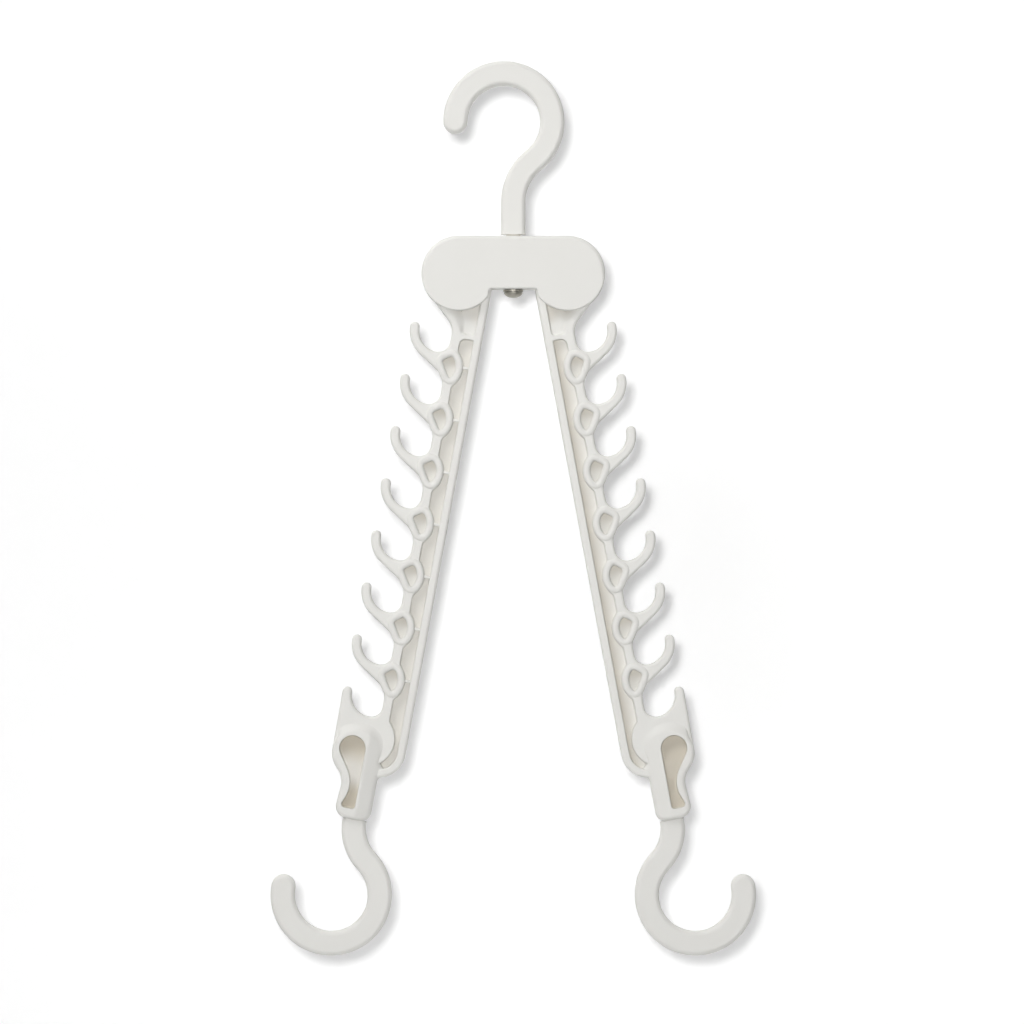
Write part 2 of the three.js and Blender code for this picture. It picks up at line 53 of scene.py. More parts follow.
def arc(ring, start, stop):
    count = max(2, math.ceil(abs(stop - start) / 4))
    turns = [math.radians(start + (stop - start) * i / count) for i in range(count + 1)]
    return [(ring[0] + ring[2] * math.cos(t), ring[1] + ring[2] * math.sin(t)) for t in turns]


def onRing(ring, turn):
    return arc(ring, turn, turn)[0]


def grow(ring, more):
    return *ring[:2], ring[2] + more


def angleTo(fromPoint, toPoint):
    return math.degrees(math.atan2(toPoint[1] - fromPoint[1], toPoint[0] - fromPoint[0]))


def turnOf(side, radius):
    return math.degrees(math.acos(side / radius))


def crossing(first, second, side):  # where the line between two rings leaves the first one
    return angleTo(first, second) + side * turnOf(first[2] + second[2], math.dist(first[:2], second[:2]))


def meetOf(first, second):
    gap = math.dist(first[:2], second[:2])
    along = (gap ** 2 + first[2] ** 2 - second[2] ** 2) / (2 * gap)
    across = math.sqrt(first[2] ** 2 - along ** 2)
    ux, uz = (second[0] - first[0]) / gap, (second[1] - first[1]) / gap
    return first[0] + ux * along - uz * across, first[1] + uz * along + ux * across


def leaveAt(start, unit, ring):  # where a line from inside a ring goes out of it
    ox, oz = start[0] - ring[0], start[1] - ring[1]
    along = ox * unit[0] + oz * unit[1]
    travel = math.sqrt(along ** 2 - ox ** 2 - oz ** 2 + ring[2] ** 2) - along
    return start[0] + unit[0] * travel, start[1] + unit[1] * travel


def pairs(loop):  # each point with the next one, all round
    return zip(loop, loop[1:] + loop[:1])


def eased(values, times):  # each value drawn towards its neighbours, all round
    for _ in range(times):
        around = zip(values[-1:] + values[:-1], values, values[1:] + values[:1])
        values = [(a + 2 * b + c) / 4 for a, b, c in around]
    return values


def evenLoop(points, step, easing):  # same spacing all round, corners eased, counter-clockwise
    ring = [p for p, q in pairs(points) if math.dist(p, q) > 1e-4]
    lengths = [math.dist(a, b) for a, b in pairs(ring)]
    total = sum(lengths)
    count = max(24, round(total / step))
    even, walked, i = [], 0, 0
    for k in range(count):
        target = total * k / count
        while walked + lengths[i] < target:
            walked += lengths[i]
            i += 1
        part = (target - walked) / lengths[i]
        even.append([a + (b - a) * part for a, b in zip(ring[i], ring[(i + 1) % len(ring)])])
    even = list(zip(*(eased(axis, easing) for axis in zip(*even))))
    area = sum(a[0] * b[1] - b[0] * a[1] for a, b in pairs(even))
    return even if area > 0 else even[::-1]


def sided(loop, *values):  # each point, the way out from it, and a value from each list
    outward = []
    for a, c in zip(loop[-1:] + loop[:-1], loop[1:] + loop[:1]):
        length = math.dist(a, c)
        outward.append(((c[1] - a[1]) / length, (a[0] - c[0]) / length))
    return zip(loop, outward, *values)


def widened(loop, out):
    return [(p[0] + n[0] * out, p[1] + n[1] * out) for p, n in sided(loop)]


def insideLoop(x, z, loop):
    inside = False
    for (ax, az), (bx, bz) in pairs(loop):
        if (az > z) != (bz > z) and x < ax + (z - az) * (bx - ax) / (bz - az):
            inside = not inside
    return inside


def smooth(t):
    t = min(1, max(0, t))
    return t * t * (3 - 2 * t)


def ramp(value, start, reach):  # 0 at the start, 1 one reach further on
    return smooth((value - start) / reach)


def valueAt(value, x, z):  # a plain number, or one that depends on the place
    return value(x, z) if callable(value) else value


# Skins: rings of points round an outline, joined by faces. Each point keeps the lean of the
# true rounded surface, which becomes its shading normal, and how much painted shade its colour gets.

class Moulding:
    def __init__(self):
        self.bm = bmesh.new()
        self.lean = self.bm.verts.layers.float_vector.new("lean")
        # a per-point level of painted shade, mixed into the colour by the plastic material
        self.recess = self.bm.verts.layers.float.new("recess")

    def point(self, x, y, z, lean=(0, 0, 0), recess=0):
        vert = self.bm.verts.new((x * mm, y * mm, z * mm))
        vert[self.lean] = lean
        vert[self.recess] = recess
        return vert

    def beside(self, p, n, out, y, leanOut, leanY, recess=0):  # a point further out than the outline
        return self.point(p[0] + n[0] * out, y, p[1] + n[1] * out,
                          (n[0] * leanOut, leanY, n[1] * leanOut), recess)

    def skin(self, rings):
        for a, b in zip(rings, rings[1:]):
            for i in range(len(a)):
                self.bm.faces.new((a[i], a[i - 1], b[i - 1], b[i]))

    def cap(self, *rings):
        edges = []
        for ring in rings:
            for i in range(len(ring)):
                pair = (ring[i - 1], ring[i])
                edges.append(self.bm.edges.get(pair) or self.bm.edges.new(pair))
        bmesh.ops.triangle_fill(self.bm, use_beauty=True, edges=edges)

    def rim(self, loop, half, rounds, steps=6, share=None):  # an outer edge, front to back
        share = share or [1] * len(loop)
        rings = []
        for side, radius in zip((-1, 1), rounds):
            for k in range(steps + 1)[::-side]:
                turn = math.pi / 2 * k / steps
                sine, cosine = math.sin(turn), math.cos(turn)
                out, drop, lean = radius * (sine - 1), radius * (1 - cosine), (sine, side * cosine)
                rings.append([self.beside(p, n, out * part, side * (half - drop * part), *lean)
                              for p, n, part in sided(loop, share)])
        self.skin(rings)
        return rings[0], rings[-1]

    def pocket(self, loop, side, face, depth, lip, fillet, tint=1, soft=None, slope=(0, 0),
               steps=5, grid=0.8):
        # a blind recess in one face; where soft is 1 its wall is a gentle slope instead
        # painted shade: the level is mixed into the colour, rising from the lip to the floor
        deep = [valueAt(depth, *p) for p in loop]
        shadeLevels = [valueAt(tint, *p) for p in loop]
        soft = soft or [0] * len(loop)
        last = 2 * steps + 1
        rings = []
        for k in range(last + 1):
            turn = math.pi / 2 * (k % (steps + 1)) / steps
            sine, cosine = math.sin(turn), math.cos(turn)
            part = k / last
            ring = []
            for p, n, down, shade, weight in sided(loop, deep, shadeLevels, soft):
                if k <= steps:
                    out, y = lip * (1 - sine), face - lip * (1 - cosine)
                    leanOut, leanY = -sine, side * cosine
                else:
                    out, y = fillet * (cosine - 1), face - down + fillet * (1 - sine)
                    leanOut, leanY = -cosine, side * sine
                if weight > 0.01:
                    leanOut, leanY = 0, 0
                out += (slope[0] + (slope[1] - slope[0]) * part - out) * weight
                y += (face - down * smooth(part) - y) * weight
                ring.append(self.beside(p, n, out, side * y, leanOut, leanY, shade * smooth(part)))
            rings.append(ring)
        self.skin(rings)
        if callable(depth):
            self.sheet(rings[-1], [], lambda x, z: side * (face - depth(x, z)), grid, tint)
        else:
            self.cap(rings[-1])
        return rings[0]

    def sheet(self, outer, holes, height, step, tint=0):  # a curved face, filled with a fine grid
        fixed = [v for ring in (outer, *holes) for v in ring]
        loops = [[(v.co.x / mm, v.co.z / mm) for v in ring] for ring in (outer, *holes)]
        border = [p for loop in loops for p in loop]
        spots = list(border)

        def within(x, z):
            return insideLoop(x, z, loops[0]) and not any(insideLoop(x, z, hole) for hole in loops[1:])
        left, low = (min(p[i] for p in loops[0]) for i in (0, 1))
        right, high = (max(p[i] for p in loops[0]) for i in (0, 1))
        for row in range(int((high - low) / step)):
            for column in range(int((right - left) / step)):
                x, z = left + step * (column + row % 2 / 2), low + step * row
                if within(x, z) and min(math.dist((x, z), p) for p in border) > 0.55 * step:
                    spots.append((x, z))
                    # grid points carry the level as painted shade in their colour
                    fixed.append(self.point(x, height(x, z), z, recess=valueAt(tint, x, z)))
        around, start = [], 0
        for loop in loops:
            around += [(start + i, start + (i + 1) % len(loop)) for i in range(len(loop))]
            start += len(loop)
        dots, _, faces, origins = delaunay_2d_cdt([Vector(p) for p in spots], around, [], 1, 1e-5)[:4]
        for face in faces:
            middle = sum((dots[i] for i in face), Vector((0, 0))) / len(face)
            if within(*middle):
                self.bm.faces.new([fixed[origins[i][0]] for i in face])

    def hole(self, loop, half):  # a plain hole right through
        rings = [[self.beside(p, n, 0, y, -1, 0) for p, n in sided(loop)] for y in (-half, half)]
        self.skin(rings)
        return rings

    # all points of an added mesh get one level of painted shade
    def add(self, mesh, recess=0):
        before = set(self.bm.verts)
        self.bm.from_mesh(mesh)
        for vert in set(self.bm.verts) - before:
            vert[self.recess] = recess

    def slide(self, y):
        bmesh.ops.translate(self.bm, vec=(0, y * mm, 0), verts=self.bm.verts)

    def trim(self):  # cuts off what is below the origin and closes the cut
        cut = bmesh.ops.bisect_plane(self.bm, geom=self.bm.verts[:] + self.bm.edges[:] + self.bm.faces[:],
                                     dist=1e-7, plane_co=(0, 0, 0), plane_no=(0, 0, 1), clear_inner=True)
        edges = [e for e in cut["geom_cut"] if isinstance(e, bmesh.types.BMEdge)]
        bmesh.ops.triangle_fill(self.bm, use_beauty=True, edges=edges)

    def meshes(self, name, *places):
        bmesh.ops.recalc_face_normals(self.bm, faces=self.bm.faces)
        for face in self.bm.faces:
            face.smooth = True
        made = []
        for place in places:
            mesh = bpy.data.meshes.new(name)
            self.bm.to_mesh(mesh)
            mesh.transform(place)
            turn = place.to_3x3()
            leans = [turn @ Vector(d.vector) for d in mesh.attributes["lean"].data]
            own = [Vector(n.vector) for n in mesh.vertex_normals]
            mesh.normals_split_custom_set_from_vertices(
                [lean.normalized() if lean.length > 0.5 else plain for lean, plain in zip(leans, own)])
            mesh.attributes.remove(mesh.attributes["lean"])
            made.append(mesh)
        self.bm.free()
        return made


def added(name, data):
    item = bpy.data.objects.new(name, data)
    scene.collection.objects.link(item)
    return item


def settled(item):  # the object's mesh with its modifiers applied
    bpy.context.view_layer.update()
    mesh = bpy.data.meshes.new_from_object(item.evaluated_get(bpy.context.evaluated_depsgraph_get()))
    item.modifiers.clear()
    bpy.data.objects.remove(item)
    return mesh


def reworked(mesh, steps):
    work = bmesh.new()
    work.from_mesh(mesh)
    steps(work)
    work.to_mesh(mesh)
    work.free()
    return mesh


def shift(x, y, z):
    return Matrix.Translation(Vector((x, y, z)) * mm)


# Node helpers, for Geometry Nodes and for materials alike

def wire(tree, node, plugs):
    for key, value in plugs.items():
        if isinstance(value, bpy.types.NodeSocket):
            tree.links.new(value, node.inputs[key])
        else:
            node.inputs[key].default_value = value


def put(tree, kind, plugs=None, out=0, **settings):  # adds a node and gives back one of its outputs
    node = tree.nodes.new(kind)
    for key, value in settings.items():
        setattr(node, key, value)
    wire(tree, node, plugs or {})
    return node.outputs[out] if len(node.outputs) else node


def calc(tree, operation, *values):
    return put(tree, "ShaderNodeMath", dict(enumerate(values)), operation=operation)


def xyz(tree, x=0.0, y=0.0, z=0.0):
    return put(tree, "ShaderNodeCombineXYZ", {0: x, 1: y, 2: z})


def startTree(name, sizes):
    tree = bpy.data.node_groups.new(name, "GeometryNodeTree")
    newSocket = tree.interface.new_socket
    newSocket("Geometry", in_out="INPUT", socket_type="NodeSocketGeometry")
    for label, value in sizes.items():
        kind = "NodeSocketInt" if isinstance(value, int) else "NodeSocketFloat"
        newSocket(label, in_out="INPUT", socket_type=kind).default_value = value
    newSocket("Finish", in_out="INPUT", socket_type="NodeSocketMaterial")
    newSocket("Geometry", in_out="OUTPUT", socket_type="NodeSocketGeometry")
    return tree, tree.nodes.new("NodeGroupInput").outputs


def endTree(tree, size, shape):
    whole = put(tree, "GeometryNodeRealizeInstances", {0: shape})
    painted = put(tree, "GeometryNodeSetMaterial", {"Geometry": whole, "Material": size["Finish"]})
    put(tree, "NodeGroupOutput", {0: painted})
    return tree


def endRow(tree, size, shape, step):  # copies of one shape, a step apart
    row = put(tree, "GeometryNodeMeshLine", {"Count": size["Count"], "Offset": step})
    copies = put(tree, "GeometryNodeInstanceOnPoints", {"Points": row, "Instance": shape})
    return endTree(tree, size, copies)


def endWelded(tree, size, shape, distance):
    welded = put(tree, "GeometryNodeMergeByDistance", {"Geometry": shape, "Distance": distance})
    return endTree(tree, size, welded)


def swept(tree, path, profile):  # carries a profile along a flat path
    level = put(tree, "GeometryNodeSetCurveNormal", {"Curve": path}, mode="Z_UP")
    return put(tree, "GeometryNodeCurveToMesh", {"Curve": level, "Profile Curve": profile})


def grown(tree, carrier, finish, **sizes):  # runs a tree on a carrier and returns a plain mesh
    modifier = carrier.modifiers.new(tree.name, "NODES")
    modifier.node_group = tree
    for item in tree.interface.items_tree:
        if item.in_out == "INPUT" and item.name in sizes:
            modifier[item.identifier] = sizes[item.name]
        elif item.in_out == "INPUT" and item.name == "Finish":
            modifier[item.identifier] = finish
    return settled(carrier)


def outlineCurve(name, points, closed):  # the points lie in the curve's own X and Y
    curve = bpy.data.curves.new(name, "CURVE")
    curve.dimensions = "3D"
    spline = curve.splines.new("POLY")
    spline.points.add(len(points) - 1)
    for dot, (x, z) in zip(spline.points, points):
        dot.co = (x * mm, z * mm, 0, 1)
    spline.use_cyclic_u = closed
    return added(name, curve)


# Materials: noises are (scale, detail), bumps (strength, distance)

# deep is the warm brown of painted shade in recesses and gaps; light and shade are random cloudy tone
plasticLook = dict(
    light=(0.79, 0.783, 0.752, 1), shade=(0.77, 0.762, 0.727, 1), deep=(0.54, 0.49, 0.40, 1),
    specular=0.3, glossSpread=(-0.05, 0.06),
    cloud=(46, 3.0), grain=(2300, 2.0), wave=(120, 1.0),
    waveBump=(0.12, 0.0004), grainBump=(0.1, 0.00006),
)
steelLook = dict(
    bright=(0.54, 0.52, 0.46, 1), dull=(0.38, 0.365, 0.32, 1), glossSpread=(-0.08, 0.12),
    scratch=(900, 4.0), scratchBump=(0.15, 0.00005),
)


def newMaterial(name):
    material = bpy.data.materials.new(name)
    material.use_nodes = True
    return material, material.node_tree, put(material.node_tree, "ShaderNodeTexCoord", out="Object")


def noise(tree, place, scale, detail):
    return put(tree, "ShaderNodeTexNoise", {"Vector": place, "Scale": scale, "Detail": detail}, "Fac")


def mixed(tree, factor, low, high):
    return put(tree, "ShaderNodeMix", {"Factor": factor, 6: low, 7: high}, 2, data_type="RGBA")


def ranged(tree, value, low, high, **more):
    return put(tree, "ShaderNodeMapRange", {"Value": value, "To Min": low, "To Max": high, **more})


def bumped(tree, height, strength, distance, **more):
    return put(tree, "ShaderNodeBump",
               {"Strength": strength, "Distance": distance, "Height": height, **more})


def mouldedPlastic(name, gloss):
    look = Named(**plasticLook)
    material, tree, place = newMaterial(name)
    body = mixed(tree, noise(tree, place, *look.cloud), look.shade, look.light)
    # painted shade: the per-point shade level mixes the deep brown into the colour
    recess = put(tree, "ShaderNodeAttribute", out="Fac", attribute_name="recess")
    grain = noise(tree, place, *look.grain)
    soft = bumped(tree, noise(tree, place, *look.wave), *look.waveBump)
    wire(tree, tree.nodes["Principled BSDF"], {
        "Specular IOR Level": look.specular,
        "Base Color": mixed(tree, recess, body, look.deep),
        "Roughness": ranged(tree, grain, *(gloss + spread for spread in look.glossSpread)),
        "Normal": bumped(tree, grain, *look.grainBump, Normal=soft),
    })
    return material


def turnedSteel(name, gloss):
    look = Named(**steelLook)
    material, tree, place = newMaterial(name)
    scratch = noise(tree, place, *look.scratch)
    wire(tree, tree.nodes["Principled BSDF"], {
        "Metallic": 1,
        "Base Color": mixed(tree, scratch, look.dull, look.bright),
        "Roughness": ranged(tree, scratch, *(gloss + spread for spread in look.glossSpread)),
        "Normal": bumped(tree, scratch, *look.scratchBump),
    })
    return material


hookPlastic = mouldedPlastic("hookPlastic", 0.52)
headPlastic = mouldedPlastic("headPlastic", 0.58)
armPlastic = mouldedPlastic("armPlastic", 0.54)
rivetSteel = turnedSteel("rivetSteel", 0.56)
screwSteel = turnedSteel("screwSteel", 0.35)
print("materials ready")


def showPiece(name, mesh, material, slotName, body, node=None):
    if material.name not in mesh.materials:
        mesh.materials.clear()
        mesh.materials.append(material)
    piece = added(name, mesh)
    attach(piece, body)
    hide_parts(node or body)


# Places from the frame's joints

jointAt = {j["name"]: Vector(j["pos_m"]) for j in frame["joints"]}
restTilt = 10.5
headPlace = Matrix.Translation(jointAt["head_swivel"])
turnOver = Matrix.Rotation(math.pi, 4, "Z")
upsideDown = Matrix.Rotation(math.pi, 4, "Y")
hang = (Matrix.Translation(jointAt["right_arm_fold"] - jointAt["head_swivel"])
        @ Matrix.Rotation(math.radians(-restTilt), 4, "Y"))
armPlaces = {"left": headPlace @ turnOver @ hang, "right": headPlace @ hang}


# Swivel hooks: the outline is swept with a rounded edge, and the two faces are filled

def edgeSweepTree():
    tree, size = startTree("edgeSweep", {"Thickness": 0.009, "Edge Round": 0.0024, "Steps": 7})
    count = calc(tree, "MULTIPLY_ADD", size["Steps"], 2.0, 2.0)
    line = put(tree, "GeometryNodeCurvePrimitiveLine")
    dots = put(tree, "GeometryNodeResampleCurve", {"Curve": line, "Count": count}, mode="COUNT")
    index = put(tree, "GeometryNodeInputIndex")
    back = calc(tree, "GREATER_THAN", index, size["Steps"])
    part = calc(tree, "DIVIDE", calc(tree, "SUBTRACT", index, back), size["Steps"])
    turn = calc(tree, "MULTIPLY", part, math.pi / 2)
    half = calc(tree, "MULTIPLY", size["Thickness"], 0.5)
    flat = calc(tree, "SUBTRACT", half, size["Edge Round"])
    side = calc(tree, "MULTIPLY_ADD", back, -2.0, 1.0)
    curl = calc(tree, "MULTIPLY", size["Edge Round"], calc(tree, "COSINE", turn))
    lift = calc(tree, "MULTIPLY_ADD", side, flat, curl)
    out = calc(tree, "MULTIPLY", size["Edge Round"], calc(tree, "SUBTRACT", calc(tree, "SINE", turn), 1.0))
    edge = put(tree, "GeometryNodeSetPosition", {"Geometry": dots, "Position": xyz(tree, out, lift)})
    wall = swept(tree, size["Geometry"], edge)
    neighbours = put(tree, "GeometryNodeInputMeshEdgeNeighbors")
    height = put(tree, "ShaderNodeSeparateXYZ", {0: put(tree, "GeometryNodeInputPosition")}, 2)
    front = calc(tree, "MULTIPLY", calc(tree, "LESS_THAN", neighbours, 1.5),
                 calc(tree, "GREATER_THAN", height, 0.0))
    lip = put(tree, "GeometryNodeMeshToCurve", {"Mesh": wall, "Selection": front})
    face = put(tree, "GeometryNodeFillCurve", {"Curve": lip}, mode="TRIANGLES")
    joined = put(tree, "GeometryNodeJoinGeometry", {0: wall})
    for sign in (1.0, -1.0):
        level = xyz(tree, z=calc(tree, "MULTIPLY", half, sign))
        moved = put(tree, "GeometryNodeTransform", {"Geometry": face, "Translation": level})
        wire(tree, joined.node, {0: moved})
    return endWelded(tree, size, joined, 1e-6)


# Turned pieces: a profile of (radius, height) swept round a very small circle

def turnedTree():
    tree, size = startTree("turnedPiece", {"Sides": 48, "Core": 0.00001})
    circle = put(tree, "GeometryNodeCurvePrimitiveCircle",
                 {"Resolution": size["Sides"], "Radius": size["Core"]})
    close = calc(tree, "MULTIPLY", size["Core"], 3.0)
    return endWelded(tree, size, swept(tree, circle, size["Geometry"]), close)


edgeSweep = edgeSweepTree()
turnedPiece = turnedTree()


def turned(profile, finish, sides=48, closed=False):
    standing = [(radius, -height) for radius, height in profile]  # the sweep turns heights over
    mesh = grown(turnedPiece, outlineCurve("profile", standing, closed), finish, Sides=sides)
    return reworked(mesh, lambda work: bmesh.ops.recalc_face_normals(work, faces=work.faces))


def rounded(corners, easing):  # a profile whose inner corners are cut to short arcs
    points = [corners[0]]
    for before, corner, after in zip(corners, corners[1:], corners[2:]):
        into, away = math.dist(before, corner), math.dist(corner, after)
        reach = min(easing, into / 2.2, away / 2.2)
        a = [corner[i] + (before[i] - corner[i]) * reach / into for i in (0, 1)]
        b = [corner[i] + (after[i] - corner[i]) * reach / away for i in (0, 1)]
        for k in range(5):
            t = k / 4
            points.append(tuple((1 - t) ** 2 * a[i] + 2 * t * (1 - t) * corner[i] + t * t * b[i]
                                for i in (0, 1)))
    return points + [corners[-1]]


hookSizes = dict(
    ringRadius=24.35, ringOffset=4.75, tipAngle=179.5,
    barWidth=12.2, barThickness=9, edgeRound=2.4, edgeSteps=8, flatMargin=0.001, step=0.8,
    topStraight=16.3, topReverse=26.5, topShoulder=19.75,
    endStraight=0.6, endReverse=23.5, endShoulder=278.8,
    topNeck=(3.6, 27.4), endNeck=(2.8, 24),  # radius and length
    snapHead=(3.4, 5, 2.4),  # radius, length and taper
    # the last neck value is a level of painted shade
    neckRise=4, neckRound=0.4, neckTint=0.5,
)
hook = Named(**hookSizes)


def hookOutline(straight, reverse):
    wide = hook.barWidth / 2
    rise = math.sqrt((hook.ringRadius + reverse) ** 2 - (hook.ringOffset + reverse) ** 2)
    bend = (reverse, straight, reverse)
    ring = (-hook.ringOffset, straight + rise, hook.ringRadius)
    turn, tip = angleTo(ring, bend), hook.tipAngle
    under = -3 * hook.edgeRound  # cut off flat at the shoulder later
    return ([(-wide, under)]
            + arc(grow(bend, wide), 180, 180 + turn)
            + arc(grow(ring, -wide), turn, tip)
            + arc((*onRing(ring, tip), wide), tip + 180, tip)
            + arc(grow(ring, wide), tip, turn)
            + arc(grow(bend, -wide), 180 + turn, 180)
            + [(wide, under)])


def swivelHook(straight, reverse, neck, snap=()):
    loop = evenLoop(hookOutline(straight, reverse), hook.step, 2)
    bar = grown(edgeSweep, outlineCurve("hookOutline", loop, True), hookPlastic,
                **{"Thickness": hook.barThickness * mm, "Edge Round": hook.edgeRound * mm,
                   "Steps": hook.edgeSteps})
    bar.transform(stand)
    body = Moulding()
    body.add(bar)
    body.trim()
    flat = (hook.barThickness / 2 - hook.flatMargin) * mm
    for vert in body.bm.verts:  # keeps the two faces flat in the shading
        if abs(vert.co.y) > flat:
            vert[body.lean] = (0, math.copysign(1, vert.co.y), 0)
    radius, length = neck
    profile = [(0, -length), (radius, -length), *snap, (radius, hook.neckRise), (0, hook.neckRise)]
    # the neck gets painted shade, darker for the gap it sits in
    body.add(turned(rounded(profile, hook.neckRound), hookPlastic), hook.neckTint)
    return body


topHook = swivelHook(hook.topStraight, hook.topReverse, hook.topNeck)
topMesh, = topHook.meshes("topHook", headPlace @ shift(0, 0, hook.topShoulder))
showPiece("top_hook_moulding", topMesh, hookPlastic, "hook_plastic", "top_hook")

neckRadius, neckLength = hook.endNeck
snapRadius, snapLength, snapTaper = hook.snapHead
snapTop = snapLength - neckLength
endHook = swivelHook(hook.endStraight, hook.endReverse, hook.endNeck,
                     [(snapRadius, snapTaper - neckLength), (snapRadius, snapTop), (neckRadius, snapTop)])
endPlaces = []
for side, armPlace in armPlaces.items():
    seat = armPlace.inverted() @ jointAt[side + "_end_hook_swivel"]
    endPlaces.append(armPlace @ shift(seat.x / mm, 0, -hook.endShoulder) @ upsideDown)
for side, mesh in zip(armPlaces, endHook.meshes("endHook", *endPlaces)):
    showPiece(side + "_end_hook_moulding", mesh, hookPlastic, "hook_plastic", side + "_end_hook")
print("hooks done")


# Arms: one moulding, shown twice, the second time turned over. A painted shade level is (most,
# least), and what a ramp reads is (start, reach).

armSizes = dict(
    half=5, hubRadius=18.2, innerEdge=17.6, rimWidth=4.2, webHalf=1.2,
    edgeRound=1.5, lip=0.7, fillet=0.6, step=0.6,
    hookCount=8, hookPitch=26.6, firstTip=27.6, tipRadius=2.4,
    gulletOffset=4, gulletInner=5.9, gulletOuter=10.5, wallRadius=10, wallStart=3.4, spineWidth=4.8,
    loopDrop=19.85, loopOffset=1.4, loopRadius=11.95, loopWidth=3.3,
    pocketTopWall=4, pocketSlant=32, pocketSideIn=2.2, pocketCorner=0.9, pocketStep=0.5,
    # the pocket, cell, channel and recess levels are painted shade in the colour
    pocketTint=(0.38, 0.15), pocketShade=(5, -6),
    beadSize=(1.9, 1.3), beadRise=0.6, beadStep=0.8,
    ribThickness=1.4, ribInset=0.5, ribLift=1.4,
    cellTint=0.25, plainTint=(0.45, 0.12), plainShade=7,
    recessDepth=1.6, recessLedge=2.7, recessEnd=29.3, barHeight=2.5,
    recessSlope=(2.6, -3.4), recessOpen=(-9.5, 3), recessFoot=(-28.3, 6), footShare=0.4,
    recessTint={-1: 0.45, 1: 0.28}, recessLeast=0.03, recessShade=(-25, 5),
    channelCorner=3, corner=(-4.1, -242.5, 13.5), disc=(2.8, -237.5, 14), discStart=240,
    keyholeRoom=(9, -243.5, 7.6), roomStart=-15, housingSide=(19, -245.5),
    hiddenBoxes=((0, 18, -236), (-4, 20, -241)), hiddenShare=0.12,  # left, right, top
    bore=4.8, slotRadius=12, slotHalf=2.3, slotFrom=39.5, slotTo=119.5,
)
arm = Named(**armSizes)
wallOffset = arm.gulletOffset - arm.gulletInner
spineInner = wallOffset - arm.spineWidth
rimInner = arm.innerEdge - arm.rimWidth
hub = (0, 0, arm.hubRadius)


def hookRings(index):
    tipTop = -arm.firstTip - index * arm.hookPitch
    level = tipTop - arm.tipRadius
    out = arm.gulletOffset
    return Named(
        wall=(wallOffset + arm.wallRadius, tipTop - arm.wallStart, arm.wallRadius),
        inner=(out, level - arm.gulletOuter + arm.gulletInner, arm.gulletInner),
        outer=(out, level, arm.gulletOuter),
        tip=(out + arm.gulletOuter + arm.tipRadius, level, arm.tipRadius),
        back=(out, level, arm.gulletOuter + 2 * arm.tipRadius),
        loop=(arm.loopOffset, tipTop - arm.loopDrop, arm.loopRadius),
    )


def armOutline():
    shoulder = crossing(hub, hookRings(0).wall, 1)
    points = arc(hub, 180 + turnOf(arm.innerEdge, arm.hubRadius), shoulder)
    came = shoulder + 180
    for i in range(arm.hookCount):
        rings = hookRings(i)
        points += arc(rings.wall, came, 180) + arc(rings.inner, 180, 270)
        points += arc(rings.outer, 270, 360) + arc(rings.tip, 180, 0)
        if i < arm.hookCount - 1:
            run = crossing(rings.back, hookRings(i + 1).wall, 1)
            points += arc(rings.back, 0, run)
            came = run + 180
    low = arm.corner[1] - arm.corner[2]
    room = arm.keyholeRoom  # the housing hides this part of the edge
    return (points + [arm.housingSide] + arc(room, arm.roomStart, 180) + [(room[0] - room[2], low)]
            + arc(arm.corner, 270, 180))


def pocketOutline(index):
    rings = hookRings(index)
    slant, corner = math.radians(-arm.pocketSlant), arm.pocketCorner
    outward = (math.cos(slant), math.sin(slant))
    along = (outward[1], -outward[0])
    into = -arm.pocketSideIn - corner
    edge = (rings.loop[0] + outward[0] * into, rings.loop[1] + outward[1] * into)
    ring = grow(rings.loop, -arm.loopWidth)
    roof = grow(rings.inner, arm.pocketTopWall)
    ringIn, roofOut = grow(ring, -corner), grow(roof, corner)
    upper = meetOf(ringIn, roofOut)
    outer, lower = leaveAt(edge, along, roofOut), leaveAt(edge, along, ringIn)

    def turnTo(centre, point, after):
        return after + (angleTo(centre, point) - after) % 360
    upperOut = turnTo(ring, upper, 0)
    lowerOut = turnTo(ring, lower, upperOut)
    roofLeft = turnTo(roof, upper, 180)
    roofRight = turnTo(roof, outer, roofLeft)
    return (arc(roof, roofLeft, roofRight)
            + arc((*outer, corner), roofRight - 180, -arm.pocketSlant)
            + arc((*lower, corner), -arm.pocketSlant, lowerOut - 360)
            + arc(ring, lowerOut, upperOut)
            + arc((*upper, corner), upperOut, roofLeft - 180))


def channelOutline():
    top = -arm.recessEnd - arm.barHeight
    corner, disc = arm.channelCorner, arm.disc
    points = [(-rimInner, top)] + arc(grow(arm.corner, -arm.rimWidth), 180, 270)
    points += arc(disc, arm.discStart, turnOf(spineInner - disc[0], disc[2]))
    meet = turnOf(spineInner - arm.loopOffset, arm.loopRadius)
    for i in reversed(range(arm.hookCount - 1)):
        points += arc(hookRings(i).loop, 360 - meet, meet)
    return points + arc((spineInner - corner, top - corner, corner), 0, 90)


def recessOutline():
    first = hookRings(0).wall
    shoulder = crossing(hub, first, 1)
    ledge = arm.hubRadius - arm.recessLedge
    left = 360 - turnOf(-rimInner, ledge)
    right = 360 + shoulder - turnOf(arm.hubRadius - arm.spineWidth, ledge)
    inner = grow(first, arm.spineWidth)
    low = 180 - math.degrees(math.asin((-arm.recessEnd - first[1]) / inner[2]))
    return [(-rimInner, -arm.recessEnd)] + arc((0, 0, ledge), left, right) + arc(inner, shoulder + 180, low)


def slotOutline():
    middle, half, low, high = (0, 0, arm.slotRadius), arm.slotHalf, arm.slotFrom, arm.slotTo
    return (arc(grow(middle, half), low, high) + arc((*onRing(middle, high), half), high, high + 180)
            + arc(grow(middle, -half), high, low) + arc((*onRing(middle, low), half), low + 180, low + 360))


